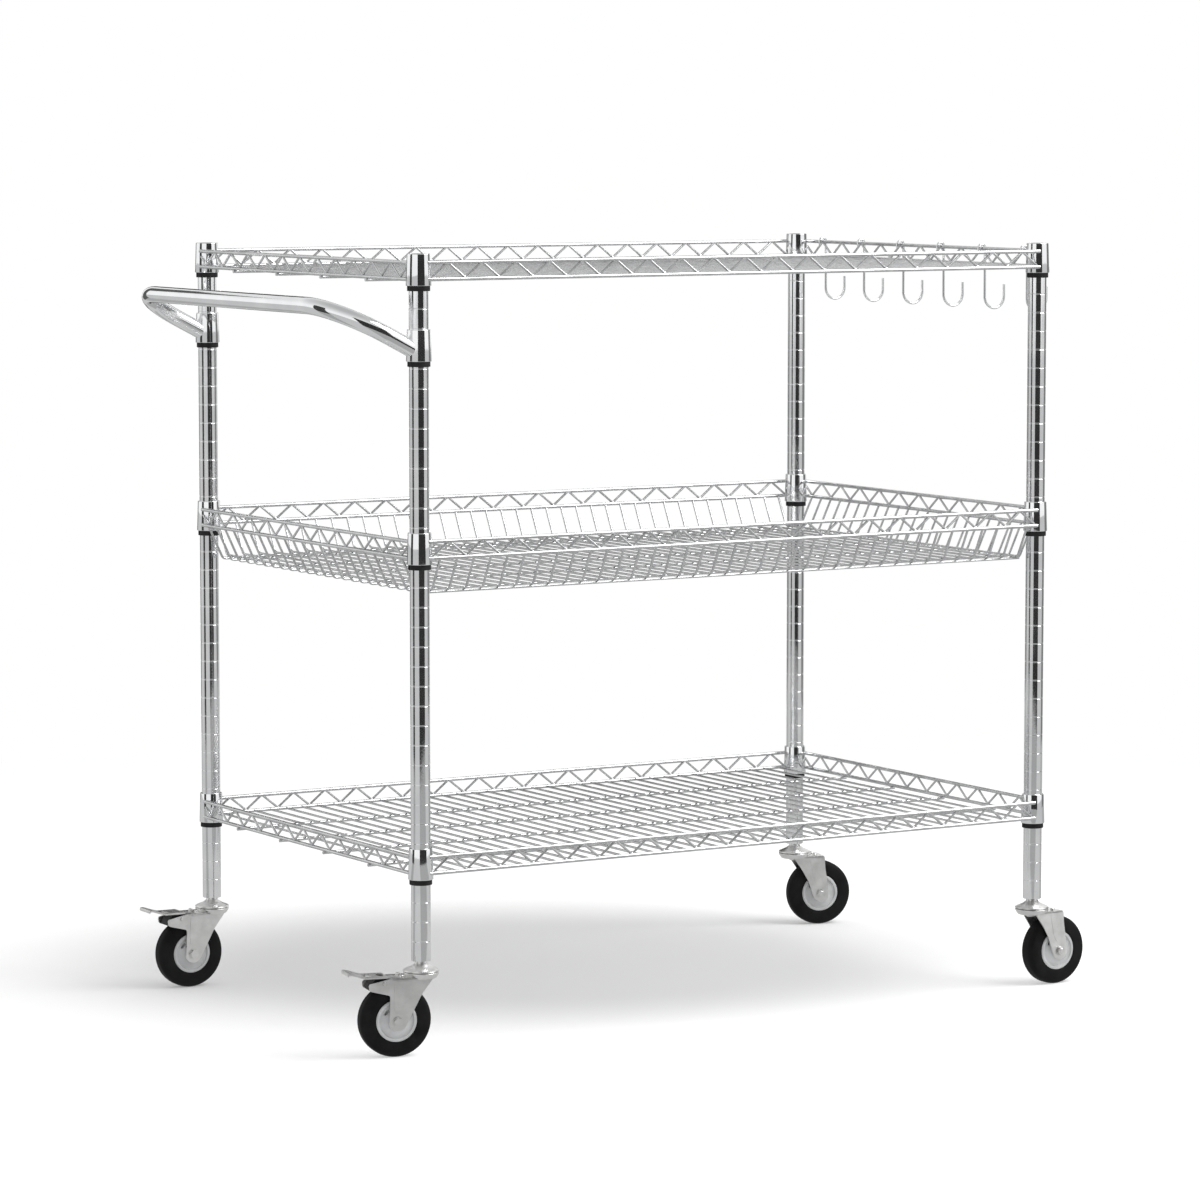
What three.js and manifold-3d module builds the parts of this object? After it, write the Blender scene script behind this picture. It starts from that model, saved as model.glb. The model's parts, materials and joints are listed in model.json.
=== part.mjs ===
// Rolling utility cart: four chrome posts on casters, two wire shelves, a wire basket and a push handle.
// Millimetres, +Z up. The handle is at -X and the long sides face -Y (front) and +Y (back).
import * as THREE from "three";
import { mergeVertices } from "three/addons/utils/BufferGeometryUtils.js";
import Module from "manifold-3d";

const wasm = await Module();
wasm.setup();

// Posts
const postSpanX = 971;
const postSpanY = 599;
const postRadius = 12.7;
const postWall = 1.5;
const postBottom = 122.4;
const postTop = 1029.5;
const capTop = 1031;
const capDepth = 12;
const capEdge = 1.2;
const roundSides = 12;

// Touching pieces keep this much air between them
const gap = 0.3;

// Heights of the black sleeve rings that carry each shelf and the handle
const ringHeight = { bottom: 225, basket: 631.4, handle: 890.8, top: 987 };

// Collars and the tapered split sleeves inside them, measured from the ring's middle
const ringHalf = 3.2;
const collarLow = 3.5;
const collarHigh = 44;
const collarRadiusLow = 16.4;
const collarRadiusHigh = 15.1;
const collarWall = 1.5;
const sleeveTop = 36;
const sleeveRing = 14.8;
const sleeveSlit = 1.6;
const slitDepth = 6;

// Wire trusses round each shelf
const trussOut = 13;
const rodSize = 5;
const webThickness = 3.4;
const webWire = 3.2;
const webPitch = 50;
const upperRod = 33;
const lowerRod = 11.7;
const webBottom = 16.5;

// Decks
const deckWire = 3.2;
const deckThickness = 3.6;
const deckPitch = 25;
const deckWires = 38;
const stiffenerSize = 4;
const stiffenerEnd = 1;
const stiffenerRows = [-187.5, -62.5, 62.5, 187.5];

// Basket
const basketDrop = 43;
const basketInset = 22;
const basketPitch = 75;
const basketWiresX = 13;
const basketWiresY = 5;
const basketPitchEnds = 125;
const basketLayer = 1;

// Handle
const handleRadius = 11;
const handleTilt = THREE.MathUtils.degToRad(27.1);
const handleReach = 131.8;
const handleBend = 83;
const handleRoot = 14.2;
const handleStart = 8;

// Casters
const wheelRadius = 47.75;
const treadWidth = 24.5;
const hubRadius = 26.3;
const hubWidth = 28.6;
const hubBoss = 10;
const hubLip = 2.5;
const wheelTrail = 36.5;
const forkInner = 15.4;
const forkSheet = 2.4;
const swivelRadius = 23.5;
const swivelGap = 0.4;
const headPlateLow = 109;
const crownTop = 104;
const crownThickness = 3;
// How far the crown reaches behind and ahead of the post's axis, with a brake arm and without
const crownReach = { brake: { back: 11, front: 46 }, plain: { back: 5, front: 42 } };
const raceLow = 100.5;
const kingpinRadius = 5;
const kingpinHead = 8;
const kingpinBore = 6;
const kingpinLow = 97;
const axleRadius = 4;
const boltHeadRadius = 7;
const boltHead = 4.5;
const runningFit = 0.1;
const wheelSides = 28;
const hubSides = 16;
const pinSides = 10;

// Brake pedal: its pin runs through both cheeks of the fork
const pedalHinge = { t: 54, z: 98 };
const pedalPinRadius = 2.4;
const pedalPinBore = 2.7;
const pedalPinEnd = 0.8;
const pedalWidth = 34;
const tongueWidth = 24;

const corners = [
  { name: "front_left", x: -1, y: -1, swivel: 167.7, brake: true },
  { name: "back_left", x: -1, y: 1, swivel: 178.3, brake: true },
  { name: "front_right", x: 1, y: -1, swivel: 0.9, brake: false },
  { name: "back_right", x: 1, y: 1, swivel: -16.8, brake: false },
];

// Hooks that hang on the right end of the top shelf
const hookRows = [-250, -150, -50, 50, 150, 250];
const hookWire = 3.4;
const hookCrook = 5.6;
const hookBend = 16.5;
const hookDrop = 84;
const hookTip = 33;

// Colour and roughness
const steel = { chrome: [0xd9dbdd, 0.12], wire: [0xcfd1d2, 0.22], zinc: [0xb9bab8, 0.42] };
const plastic = {
  cap: [0x232323, 0.6],
  sleeve: [0x1b1b1b, 0.55],
  hub: [0xa9aaab, 0.5],
  tyre: [0x161616, 0.75],
};

function metal([colour, roughness]) {
  return new THREE.MeshStandardMaterial({ color: colour, roughness, metalness: 1 });
}

function polymer([colour, roughness]) {
  return new THREE.MeshStandardMaterial({ color: colour, roughness, metalness: 0 });
}

const cart = new THREE.Group();

function addMesh(name, geometry, material, parent = cart) {
  const mesh = new THREE.Mesh(geometry, material);
  mesh.name = name;
  parent.add(mesh);
  return mesh;
}

// Solids

function toSolid(geometry) {
  const bare = geometry.clone();
  bare.deleteAttribute("normal");
  bare.deleteAttribute("uv");
  const merged = mergeVertices(bare, 1e-4);
  const corner = merged.index.array;
  const triVerts = [];
  for (let first = 0; first < corner.length; first += 3) {
    const [a, b, c] = corner.slice(first, first + 3);
    if (a !== b && b !== c && c !== a) {
      triVerts.push(a, b, c);
    }
  }
  return new wasm.Manifold(
    new wasm.Mesh({
      numProp: 3,
      vertProperties: new Float32Array(merged.attributes.position.array),
      triVerts: new Uint32Array(triVerts),
    }),
  );
}

function fromSolid(solid) {
  const mesh = solid.getMesh();
  const geometry = new THREE.BufferGeometry();
  geometry.setAttribute("position", new THREE.BufferAttribute(mesh.vertProperties, 3));
  geometry.setIndex(new THREE.BufferAttribute(mesh.triVerts, 1));
  geometry.computeVertexNormals();
  return geometry;
}

function union(geometries) {
  return geometries.map(toSolid).reduce((whole, piece) => whole.add(piece));
}

function box(sizeX, sizeY, sizeZ, x, y, z) {
  return new THREE.BoxGeometry(sizeX, sizeY, sizeZ).translate(x, y, z);
}

// A closed ring or solid of revolution about Z; outline points are [radius, height]
function turned(outline, sides) {
  const points = outline.map(([radius, height]) => new THREE.Vector2(radius, height));
  return new THREE.LatheGeometry(points, sides).rotateX(Math.PI / 2);
}

function ring(outline, sides) {
  return turned([...outline, outline[0]], sides);
}

function polygon(points) {
  return new THREE.Shape(points.map(([x, y]) => new THREE.Vector2(x, y)));
}

function hole(points) {
  return new THREE.Path(points.map(([x, y]) => new THREE.Vector2(x, y)));
}

function extruded(shape, depth) {
  return new THREE.ExtrudeGeometry(shape, { depth, bevelEnabled: false, curveSegments: 4 });
}

// A path through points, with one sweep step to each stretch
class StretchPath extends THREE.Curve {
  constructor(points) {
    super();
    this.points = points;
  }

  getPoint(t, target = new THREE.Vector3()) {
    const place = t * (this.points.length - 1);
    const index = Math.min(Math.floor(place), this.points.length - 2);
    return target.lerpVectors(this.points[index], this.points[index + 1], place - index);
  }

  getUtoTmapping(u) {
    return u;
  }
}

function swept(points, radius, sides) {
  const section = [];
  for (let side = 0; side < sides; side += 1) {
    const angle = (2 * Math.PI * side) / sides;
    section.push([radius * Math.cos(angle), radius * Math.sin(angle)]);
  }
  const path = new StretchPath(points);
  return new THREE.ExtrudeGeometry(polygon(section), {
    steps: points.length - 1,
    extrudePath: path,
    bevelEnabled: false,
  });
}

function arcPoints(centre, axisA, axisB, radius, fromAngle, toAngle, steps) {
  const points = [];
  for (let step = 0; step <= steps; step += 1) {
    const angle = fromAngle + ((toAngle - fromAngle) * step) / steps;
    const point = centre.clone();
    point.addScaledVector(axisA, radius * Math.cos(angle));
    point.addScaledVector(axisB, radius * Math.sin(angle));
    points.push(point);
  }
  return points;
}

// Posts, caps, sleeves and collars

function postGeometry() {
  return ring(
    [
      [postRadius - postWall, postBottom],
      [postRadius, postBottom],
      [postRadius, postTop],
      [postRadius - postWall, postTop],
    ],
    roundSides,
  );
}

function capGeometry() {
  return turned(
    [
      [0, postTop - capDepth],
      [postRadius - postWall - gap, postTop - capDepth],
      [postRadius - postWall - gap, postTop + gap],
      [postRadius - gap, postTop + gap],
      [postRadius - capEdge, capTop],
      [0, capTop],
    ],
    roundSides,
  );
}

function collarRadiusAt(height) {
  const share = (height - collarLow) / (collarHigh - collarLow);
  return THREE.MathUtils.lerp(collarRadiusLow, collarRadiusHigh, share);
}

function sleeveGeometry() {
  const bore = postRadius + gap;
  const outer = (height) => collarRadiusAt(height) - collarWall - gap;
  const body = ring(
    [
      [bore, -ringHalf],
      [sleeveRing, -ringHalf],
      [outer(collarLow), collarLow],
      [outer(sleeveTop), sleeveTop],
      [bore, sleeveTop],
    ],
    roundSides,
  );
  const over = 5;
  const slitX = bore + slitDepth / 2 - over / 2;
  const slit = box(slitDepth + over, sleeveSlit, sleeveTop + 2 * over, slitX, 0, sleeveTop / 2);
  return fromSolid(toSolid(body).subtract(toSolid(slit)));
}

function collarSolid(x, y, ringZ) {
  return turned(
    [
      [0, collarLow],
      [collarRadiusLow, collarLow],
      [collarRadiusHigh, collarHigh],
      [0, collarHigh],
    ],
    roundSides,
  ).translate(x, y, ringZ);
}

function collarBore(x, y, ringZ) {
  const over = 1;
  return turned(
    [
      [0, collarLow - over],
      [collarRadiusAt(collarLow - over) - collarWall, collarLow - over],
      [collarRadiusAt(collarHigh + over) - collarWall, collarHigh + over],
      [0, collarHigh + over],
    ],
    roundSides,
  ).translate(x, y, ringZ);
}

// Zigzag wire in a flat band: centre line through the points, with mitred edges
function zigzagBand(points, wire) {
  const [first, second] = points;
  const slope = Math.abs((second[1] - first[1]) / (second[0] - first[0]));
  const half = wire / 2 / Math.cos(Math.atan(slope));
  const lower = points.map(([s, z]) => [s, z - half]);
  const upper = points.map(([s, z]) => [s, z + half]);
  return polygon([...lower, ...upper.reverse()]);
}

// Truss side: the upper rod with the zigzag wire under it, along X at the ring's height
function trussSide(halfLength, bends) {
  const points = [];
  for (let bend = -bends; bend <= bends; bend += 1) {
    const high = (bend + bends) % 2 === 0;
    points.push([(bend * webPitch) / 2, high ? upperRod : webBottom]);
  }
  const web = extruded(zigzagBand(points, webWire), webThickness)
    .translate(0, 0, -webThickness / 2)
    .rotateX(Math.PI / 2);
  return [web, box(2 * halfLength, rodSize, rodSize, 0, 0, upperRod)];
}

function rimGeometry(ringZ) {
  const collarReach = 5;
  const bendsX = 18;
  const bendsY = 10;
  const sideX = postSpanX / 2 + trussOut;
  const sideY = postSpanY / 2 + trussOut;
  const pieces = [];
  for (const side of [-1, 1]) {
    for (const piece of trussSide(postSpanX / 2 - collarReach, bendsX)) {
      pieces.push(piece.translate(0, side * sideY, ringZ));
    }
    for (const piece of trussSide(postSpanY / 2 - collarReach, bendsY)) {
      pieces.push(piece.rotateZ(Math.PI / 2).translate(side * sideX, 0, ringZ));
    }
  }
  const bores = [];
  for (const corner of corners) {
    const x = (corner.x * postSpanX) / 2;
    const y = (corner.y * postSpanY) / 2;
    pieces.push(collarSolid(x, y, ringZ));
    bores.push(collarBore(x, y, ringZ));
  }
  return fromSolid(union(pieces).subtract(union(bores)));
}

function wirePlaces(count, pitch) {
  return Array.from({ length: count }, (unused, index) => (index - (count - 1) / 2) * pitch);
}

function rodHalfLength(span) {
  const clearOfCollar = 13.2;
  return span / 2 - clearOfCollar;
}

// Deck: the cross wires, with the front and back lower rods of the truss that carry their ends
function deckGeometry(ringZ) {
  const places = wirePlaces(deckWires, deckPitch);
  const sideY = postSpanY / 2 + trussOut;
  const length = 2 * rodHalfLength(postSpanX);
  const z = ringZ + lowerRod;
  const pieces = [-1, 1].map((side) => box(length, rodSize, rodSize, 0, side * sideY, z));
  for (const x of places) {
    pieces.push(box(deckWire, 2 * sideY, deckThickness, x, 0, z));
  }
  return fromSolid(union(pieces));
}

// Stiffeners: long wires under the deck, carried by the lower rods of the two short sides
function stiffenerGeometry(ringZ) {
  const sideX = postSpanX / 2 + trussOut;
  const length = 2 * rodHalfLength(postSpanY);
  const deckUnder = lowerRod - deckThickness / 2;
  const bite = 0.5;
  const rodBottom = deckUnder - gap - bite;
  const rodTop = lowerRod + deckThickness / 2;
  const pieces = [];
  for (const side of [-1, 1]) {
    const middle = ringZ + (rodBottom + rodTop) / 2;
    pieces.push(box(rodSize, length, rodTop - rodBottom, side * sideX, 0, middle));
  }
  for (const y of stiffenerRows) {
    const z = ringZ + deckUnder - gap - stiffenerSize / 2;
    pieces.push(box(2 * (sideX + stiffenerEnd) + rodSize, stiffenerSize, stiffenerSize, 0, y, z));
  }
  return fromSolid(union(pieces));
}

// Basket: wires bent into shallow troughs both ways, hung from the four lower rods
function troughWire(halfTop, halfFoot, drop) {
  const half = deckWire / 2;
  const lean = (halfTop - halfFoot) / drop;
  const skew = half * (Math.hypot(1, lean) - lean);
  return polygon([
    [-halfTop - half, 0],
    [-halfFoot - skew, -drop - half],
    [halfFoot + skew, -drop - half],
    [halfTop + half, 0],
    [halfTop - half, 0],
    [halfFoot - half, -drop + half],
    [-halfFoot + half, -drop + half],
    [-halfTop + half, 0],
  ]);
}

function basketGeometry(ringZ) {
  const sideX = postSpanX / 2 + trussOut;
  const sideY = postSpanY / 2 + trussOut;
  const z = ringZ + lowerRod;
  const acrossX = extruded(troughWire(sideX, sideX - basketInset, basketDrop), deckWire);
  const acrossY = extruded(troughWire(sideY, sideY - basketInset, basketDrop), deckWire);
  const pieces = [];
  for (const side of [-1, 1]) {
    const rodX = 2 * rodHalfLength(postSpanX);
    const rodY = 2 * rodHalfLength(postSpanY);
    pieces.push(box(rodX, rodSize, rodSize, 0, side * sideY, z));
    pieces.push(box(rodSize, rodY, rodSize, side * sideX, 0, z));
  }
  for (const x of wirePlaces(basketWiresX, basketPitch)) {
    const wire = acrossY.clone().rotateX(Math.PI / 2).rotateZ(Math.PI / 2);
    pieces.push(wire.translate(x - deckWire / 2, 0, z));
  }
  for (const y of wirePlaces(basketWiresY, basketPitchEnds)) {
    const wire = acrossX.clone().rotateX(Math.PI / 2);
    pieces.push(wire.translate(0, y + deckWire / 2, z - basketLayer));
  }
  return fromSolid(union(pieces));
}

// Handle: one bent tube coped on to two collars of its own
function handleGeometry() {
  const out = new THREE.Vector3(-Math.cos(handleTilt), 0, Math.sin(handleTilt));
  const across = new THREE.Vector3(0, 1, 0);
  const arm = postSpanY / 2;
  const rootX = -postSpanX / 2;
  const rootZ = ringHeight.handle + handleRoot;
  const place = (along, y) => new THREE.Vector3(rootX, y, rootZ).addScaledVector(out, along);
  const bendSteps = 7;
  const front = arcPoints(
    place(handleReach - handleBend, -arm + handleBend),
    out,
    across,
    handleBend,
    -Math.PI / 2,
    0,
    bendSteps,
  );
  const back = arcPoints(
    place(handleReach - handleBend, arm - handleBend),
    out,
    across,
    handleBend,
    0,
    Math.PI / 2,
    bendSteps,
  );
  const route = [place(handleStart, -arm), ...front, ...back, place(handleStart, arm)];
  const pieces = [swept(route, handleRadius, 10)];
  const bores = [];
  for (const side of [-1, 1]) {
    pieces.push(collarSolid(rootX, side * arm, ringHeight.handle));
    bores.push(collarBore(rootX, side * arm, ringHeight.handle));
  }
  return fromSolid(union(pieces).subtract(union(bores)));
}

// Casters: t runs along the trail from the post axis, the wheel turns about the crosswise axis

// The kingpin's wide foot under the crown holds the fork on
function headGeometry() {
  const rim = 1;
  const dome = 12;
  const domeRise = 7;
  const neck = 8;
  const neckLow = postBottom - 3;
  const stemRadius = postRadius - postWall - gap;
  const stemLength = 30;
  return turned(
    [
      [0, kingpinLow],
      [kingpinHead, kingpinLow],
      [kingpinHead, raceLow - swivelGap],
      [kingpinRadius, raceLow - swivelGap],
      [kingpinRadius, headPlateLow],
      [swivelRadius, headPlateLow],
      [swivelRadius - rim, headPlateLow + 2 * rim],
      [dome, headPlateLow + domeRise],
      [neck, neckLow],
      [neck, postBottom + gap],
      [stemRadius, postBottom + gap],
      [stemRadius, postBottom + stemLength],
      [0, postBottom + stemLength],
    ],
    roundSides,
  );
}

// A cheek's rear edge slopes from the crown to the eye, and a brake arm reaches ahead of it
function forkOutline(brake) {
  const eye = 12.5;
  const points = brake
    ? [
        [-crownReach.brake.back, crownTop],
        [-10, 100],
        [4, 82],
        [13, 65],
      ]
    : [
        [-crownReach.plain.back, crownTop],
        [-4, 100],
        [8, 82],
        [17, 66],
      ];
  for (const degrees of [200, 235, 270, 305, 340]) {
    const angle = THREE.MathUtils.degToRad(degrees);
    points.push([wheelTrail + eye * Math.cos(angle), wheelRadius + eye * Math.sin(angle)]);
  }
  if (brake) {
    points.push([47, 62], [46.5, 82], [74, 89], [75, 98], [crownReach.brake.front, crownTop]);
  } else {
    points.push([46, 67], [43, 87], [crownReach.plain.front, crownTop]);
  }
  return polygon(points);
}

function roundHole(t, z, radius) {
  const circle = new THREE.Path().absarc(t, z, radius, 0, 2 * Math.PI, true);
  return hole(circle.getPoints(pinSides).slice(0, -1).map((point) => [point.x, point.y]));
}

// The fork is a folded channel: two side sheets under a crown, with the race plate on top
function forkGeometry(brake) {
  const outline = forkOutline(brake);
  outline.holes = [roundHole(wheelTrail, wheelRadius, axleRadius + runningFit)];
  if (brake) {
    outline.holes.push(roundHole(pedalHinge.t, pedalHinge.z, pedalPinBore));
  }
  const pieces = [];
  for (const side of [-1, 1]) {
    const sheet = extruded(outline, forkSheet).translate(0, 0, -forkSheet / 2);
    pieces.push(sheet.rotateX(Math.PI / 2).translate(0, side * (forkInner + forkSheet / 2), 0));
  }
  const { back, front } = brake ? crownReach.brake : crownReach.plain;
  const width = 2 * (forkInner + forkSheet);
  const crownZ = crownTop - crownThickness / 2;
  pieces.push(box(front + back, width, crownThickness, (front - back) / 2, 0, crownZ));
  const raceTop = headPlateLow - swivelGap;
  const race = ring(
    [
      [kingpinBore, raceLow],
      [swivelRadius - 3, raceLow],
      [swivelRadius, crownTop + 2],
      [swivelRadius, raceTop],
      [kingpinBore, raceTop],
    ],
    roundSides,
  );
  const over = 3;
  const bore = turned(
    [
      [0, raceLow - over],
      [kingpinBore, raceLow - over],
      [kingpinBore, raceTop + over],
      [0, raceTop + over],
    ],
    roundSides,
  );
  return fromSolid(union([...pieces, race]).subtract(toSolid(bore)));
}

function hubGeometry() {
  const half = hubWidth / 2;
  const tread = treadWidth / 2;
  return ring(
    [
      [axleRadius + runningFit, -half],
      [hubBoss, -half],
      [hubRadius - hubLip, -tread],
      [hubRadius, -tread],
      [hubRadius, tread],
      [hubRadius - hubLip, tread],
      [hubBoss, half],
      [axleRadius + runningFit, half],
    ],
    hubSides,
  ).rotateX(Math.PI / 2);
}

function tyreGeometry() {
  const half = treadWidth / 2;
  const shoulder = 5;
  const bore = hubRadius + 1;
  return ring(
    [
      [bore, -half],
      [wheelRadius - shoulder, -half],
      [wheelRadius, -half + shoulder],
      [wheelRadius, half - shoulder],
      [wheelRadius - shoulder, half],
      [bore, half],
    ],
    wheelSides,
  ).rotateX(Math.PI / 2);
}

// The axle bolt runs through both fork sheets, with a head on one side and a nut on the other
function axleGeometry() {
  const outside = forkInner + forkSheet + gap;
  const end = outside + boltHead;
  return turned(
    [
      [0, -end],
      [boltHeadRadius, -end],
      [boltHeadRadius, -outside],
      [axleRadius, -outside],
      [axleRadius, outside],
      [boltHeadRadius, outside],
      [boltHeadRadius, end],
      [0, end],
    ],
    pinSides,
  ).rotateX(Math.PI / 2);
}

// The brake pedal rocks on the fork's cheeks and presses its tongue on the tyre
function pedalGeometry() {
  const plate = polygon([
    [48.5, 104.6],
    [79, 104.6],
    [101.5, 112],
    [100.5, 114.5],
    [78, 107.2],
    [48.5, 107.2],
  ]);
  const tongue = polygon([
    [50, 94],
    [58, 94],
    [64, 92.5],
    [73, 88.5],
    [70, 97],
    [62, 105.5],
    [50, 105.5],
  ]);
  const pinHalf = forkInner + forkSheet + pedalPinEnd;
  const pin = turned(
    [
      [0, -pinHalf],
      [pedalPinRadius, -pinHalf],
      [pedalPinRadius, pinHalf],
      [0, pinHalf],
    ],
    pinSides,
  );
  const pieces = [pin.rotateX(Math.PI / 2).translate(pedalHinge.t, 0, pedalHinge.z)];
  for (const [shape, width] of [
    [plate, pedalWidth],
    [tongue, tongueWidth],
  ]) {
    pieces.push(extruded(shape, width).translate(0, 0, -width / 2).rotateX(Math.PI / 2));
  }
  return fromSolid(union(pieces));
}

function addCaster(corner) {
  const x = (corner.x * postSpanX) / 2;
  const y = (corner.y * postSpanY) / 2;
  const head = addMesh(`caster_head_${corner.name}`, headGeometry(), metal(steel.zinc));
  head.position.set(x, y, 0);
  const turn = new THREE.Group();
  turn.position.set(x, y, 0);
  turn.rotation.z = THREE.MathUtils.degToRad(corner.swivel);
  cart.add(turn);
  addMesh(`caster_fork_${corner.name}`, forkGeometry(corner.brake), metal(steel.zinc), turn);
  const axleLine = new THREE.Group();
  axleLine.position.set(wheelTrail, 0, wheelRadius);
  turn.add(axleLine);
  addMesh(`wheel_hub_${corner.name}`, hubGeometry(), polymer(plastic.hub), axleLine);
  addMesh(`wheel_tyre_${corner.name}`, tyreGeometry(), polymer(plastic.tyre), axleLine);
  addMesh(`wheel_axle_${corner.name}`, axleGeometry(), metal(steel.zinc), axleLine);
  if (corner.brake) {
    addMesh(`brake_pedal_${corner.name}`, pedalGeometry(), metal(steel.zinc), turn);
  }
}

// Hook: crook over the upper rod, stem down past the lower rod, and an open bend facing out
function hookGeometry(y) {
  const rodX = postSpanX / 2 + trussOut;
  const rodZ = ringHeight.top + upperRod;
  const right = new THREE.Vector3(1, 0, 0);
  const up = new THREE.Vector3(0, 0, 1);
  const over = arcPoints(new THREE.Vector3(rodX, y, rodZ), right, up, hookCrook, Math.PI, 0, 6);
  const stemX = rodX + hookCrook;
  const bendZ = rodZ - hookDrop + hookBend;
  const bendCentre = new THREE.Vector3(stemX + hookBend, y, bendZ);
  const under = arcPoints(bendCentre, right, up, hookBend, Math.PI, 2 * Math.PI, 8);
  const crookLip = 4;
  const start = new THREE.Vector3(rodX - hookCrook, y, rodZ - crookLip);
  const tip = new THREE.Vector3(stemX + 2 * hookBend, y, bendZ - hookBend + hookTip);
  return swept([start, ...over, ...under, tip], hookWire / 2, 6);
}

for (const corner of corners) {
  const x = (corner.x * postSpanX) / 2;
  const y = (corner.y * postSpanY) / 2;
  addMesh(`post_${corner.name}`, postGeometry(), metal(steel.chrome)).position.set(x, y, 0);
  addMesh(`post_cap_${corner.name}`, capGeometry(), polymer(plastic.cap)).position.set(x, y, 0);
  for (const level of Object.keys(ringHeight)) {
    if (level !== "handle" || corner.x < 0) {
      const sleeve = addMesh(`sleeve_${level}_${corner.name}`, sleeveGeometry(), polymer(plastic.sleeve));
      sleeve.position.set(x, y, ringHeight[level]);
    }
  }
  addCaster(corner);
}

for (const level of ["bottom", "basket", "top"]) {
  addMesh(`${level}_shelf_rim`, rimGeometry(ringHeight[level]), metal(steel.wire));
}
for (const level of ["bottom", "top"]) {
  addMesh(`${level}_shelf_deck`, deckGeometry(ringHeight[level]), metal(steel.wire));
  addMesh(`${level}_shelf_stiffeners`, stiffenerGeometry(ringHeight[level]), metal(steel.wire));
}
addMesh("basket_shelf_basket", basketGeometry(ringHeight.basket), metal(steel.wire));
addMesh("push_handle", handleGeometry(), metal(steel.chrome));
hookRows.forEach((y, index) => {
  addMesh(`utensil_hook_${index + 1}`, hookGeometry(y), metal(steel.chrome));
});

// The origin is the middle of the whole cart's footprint, on the floor
const bounds = new THREE.Box3().setFromObject(cart, true);
const centre = bounds.getCenter(new THREE.Vector3());
cart.position.set(-centre.x, -centre.y, -bounds.min.z);

export default cart;
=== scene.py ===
import bmesh
import bpy
import json
import math
from mathutils import Matrix, Vector


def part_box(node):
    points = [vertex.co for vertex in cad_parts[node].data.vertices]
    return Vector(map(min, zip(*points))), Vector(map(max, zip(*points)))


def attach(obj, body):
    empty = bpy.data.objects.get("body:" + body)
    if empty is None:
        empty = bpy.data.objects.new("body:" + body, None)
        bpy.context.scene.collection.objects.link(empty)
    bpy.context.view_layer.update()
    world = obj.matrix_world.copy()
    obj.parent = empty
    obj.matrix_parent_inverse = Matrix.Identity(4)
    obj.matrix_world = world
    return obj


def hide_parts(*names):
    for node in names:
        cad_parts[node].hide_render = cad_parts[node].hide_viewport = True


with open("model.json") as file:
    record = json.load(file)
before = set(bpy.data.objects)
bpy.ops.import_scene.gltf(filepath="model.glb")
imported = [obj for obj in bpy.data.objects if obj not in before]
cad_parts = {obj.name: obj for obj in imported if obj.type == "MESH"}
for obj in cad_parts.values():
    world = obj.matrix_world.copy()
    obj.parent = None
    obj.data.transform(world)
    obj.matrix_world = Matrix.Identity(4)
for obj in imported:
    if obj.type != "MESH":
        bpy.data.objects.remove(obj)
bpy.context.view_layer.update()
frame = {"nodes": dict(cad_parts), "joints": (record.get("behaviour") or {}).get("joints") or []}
mm = 0.001

# Where the cart's pieces are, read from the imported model
cornerNames = ["front_left", "back_left", "front_right", "back_right"]
postAxis = {}
for cornerName in cornerNames:
    low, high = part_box("post_" + cornerName)
    postAxis[cornerName] = (low + high) / 2
postLow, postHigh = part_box("post_front_left")
cartMiddle = sum(postAxis.values(), Vector()) / 4
cartMiddle.z = 0
spanX = postAxis["front_right"].x - postAxis["front_left"].x
spanY = postAxis["back_left"].y - postAxis["front_left"].y
ringHalf = 3.2 * mm
ringHeight = {
    level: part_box(f"sleeve_{level}_front_left")[0].z + ringHalf
    for level in ["bottom", "basket", "handle", "top"]
}
jointPlace = {joint["name"]: Vector(joint["pos_m"]) for joint in frame["joints"]}


# Finishes

# The parts of the noise's range over which tone and gloss change, and the height of the grain
toneSpan = (0.35, 0.65)
glossSpan = (0.3, 0.7)
grainHeight = 0.2 * mm


def startMaterial(name):
    material = bpy.data.materials.new(name)
    material.use_nodes = True
    nodes = material.node_tree.nodes
    return material, nodes, material.node_tree.links, nodes["Principled BSDF"]


def noiseOn(nodes, links, scale, detail=3):
    place = nodes.new("ShaderNodeTexCoord")
    noise = nodes.new("ShaderNodeTexNoise")
    noise.inputs["Scale"].default_value = scale
    noise.inputs["Detail"].default_value = detail
    links.new(place.outputs["Object"], noise.inputs["Vector"])
    return noise.outputs["Fac"]


def rangeNode(nodes, links, source, low, high, fromMin=0, fromMax=1):
    ramp = nodes.new("ShaderNodeMapRange")
    ramp.inputs["From Min"].default_value = fromMin
    ramp.inputs["From Max"].default_value = fromMax
    ramp.inputs["To Min"].default_value = low
    ramp.inputs["To Max"].default_value = high
    links.new(source, ramp.inputs["Value"])
    return ramp


def twoTone(nodes, links, source, first, second):
    ramp = nodes.new("ShaderNodeValToRGB")
    ramp.color_ramp.elements[0].position = toneSpan[0]
    ramp.color_ramp.elements[0].color = (*first, 1)
    ramp.color_ramp.elements[1].position = toneSpan[1]
    ramp.color_ramp.elements[1].color = (*second, 1)
    links.new(source, ramp.inputs["Fac"])
    return ramp.outputs["Color"]


def roughen(nodes, links, shader, source, strength):
    bump = nodes.new("ShaderNodeBump")
    bump.inputs["Strength"].default_value = strength
    bump.inputs["Distance"].default_value = grainHeight
    links.new(source, bump.inputs["Height"])
    links.new(bump.outputs["Normal"], shader.inputs["Normal"])


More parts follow.
